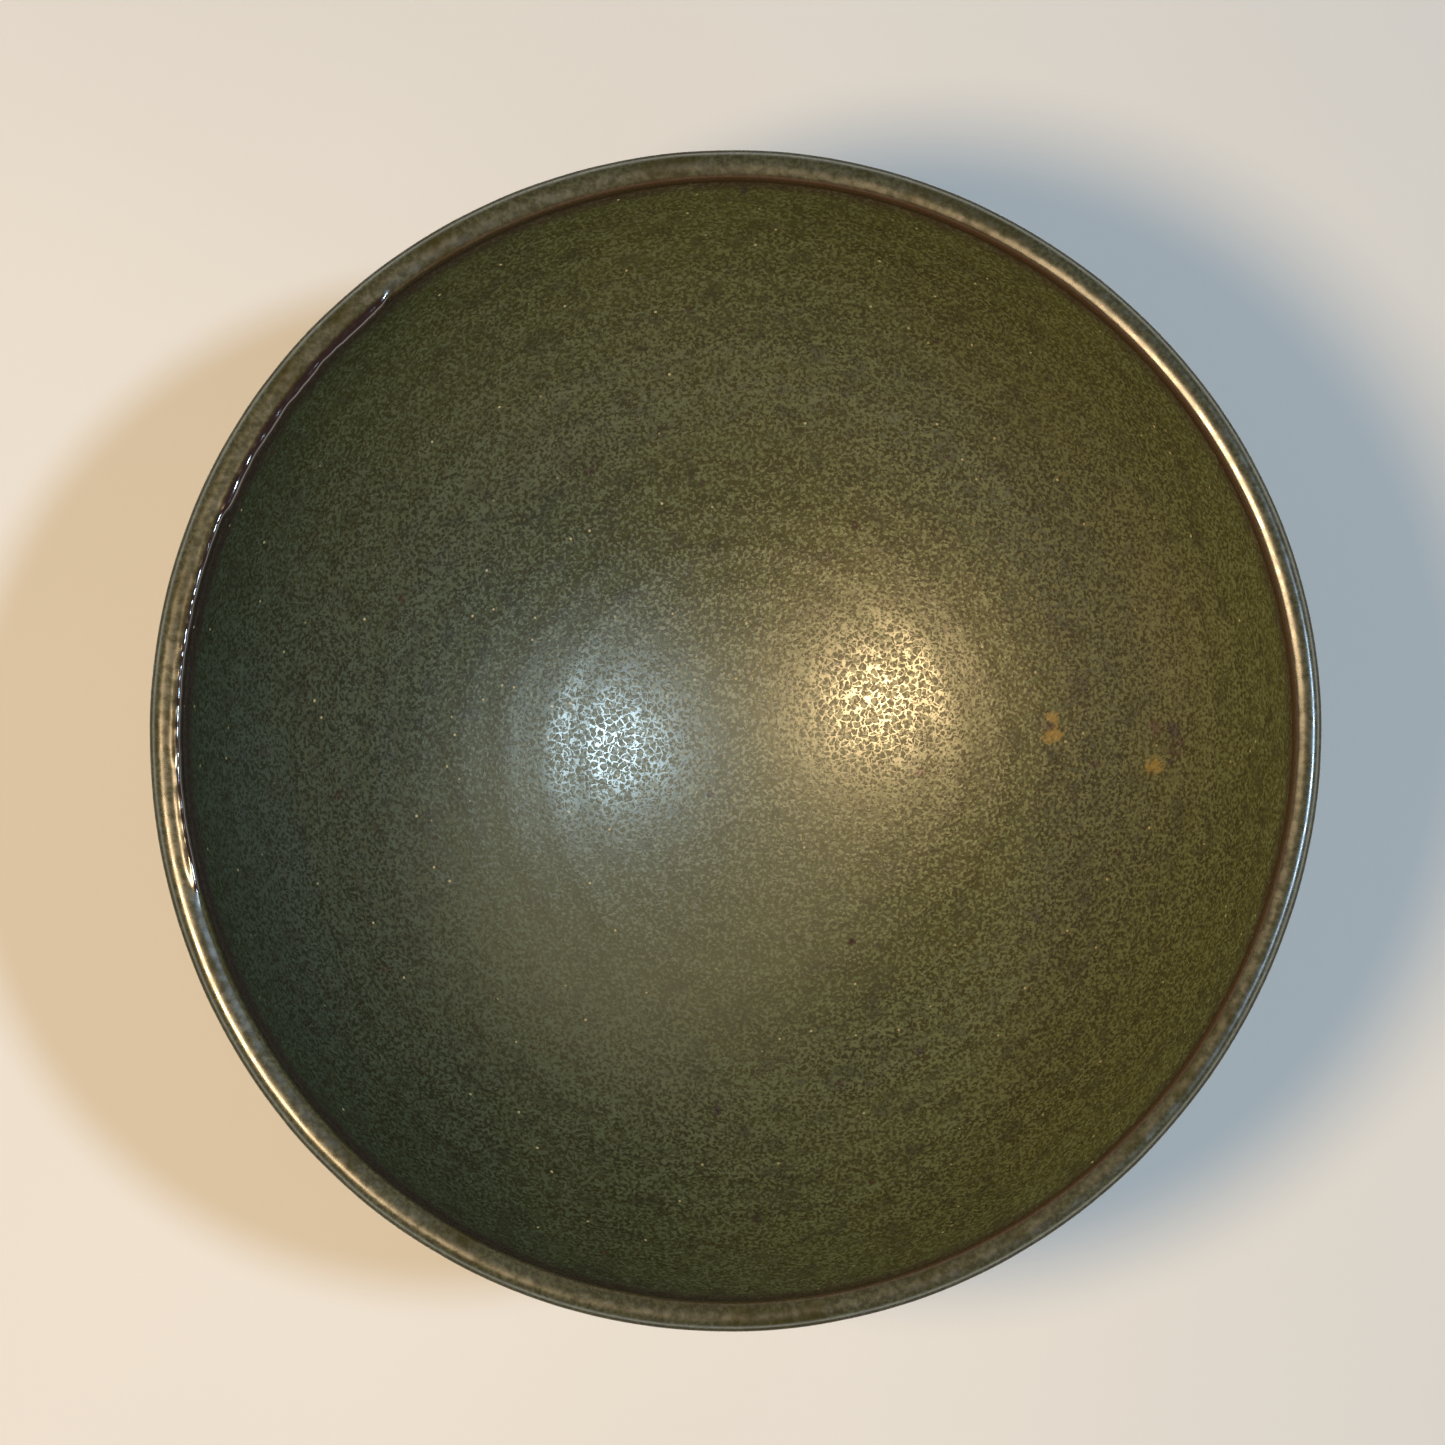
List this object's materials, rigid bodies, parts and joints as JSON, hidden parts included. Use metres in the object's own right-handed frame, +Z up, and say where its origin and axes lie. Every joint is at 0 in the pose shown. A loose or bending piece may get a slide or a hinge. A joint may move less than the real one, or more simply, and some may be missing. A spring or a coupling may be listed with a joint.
{
  "type": "matcha bowl",
  "caption": "Round thrown tea bowl with a rounded lip, satin olive glaze inside and out, and a bare turned foot ring, for whisking and drinking powdered tea.",
  "frame": {"origin": "centre of the foot ring's resting face, on the bowl's axis", "axes": "+Z up out of the bowl's mouth; +X and +Y span the table, +X to the right and +Y to the top of the reference view from above"},
  "size_m": [0.1213, 0.1226, 0.06],
  "materials": {
    "bare_clay": "matte",
    "satin_glaze": "satin",
    "lip_glaze": "gloss"
  },
  "bodies": {
    "root": {"clay_body": "bare_clay", "foot_ring": "bare_clay", "inner_glaze": "satin_glaze", "rim_glaze": "lip_glaze", "outer_glaze": "satin_glaze"}
  },
  "joints": []
}
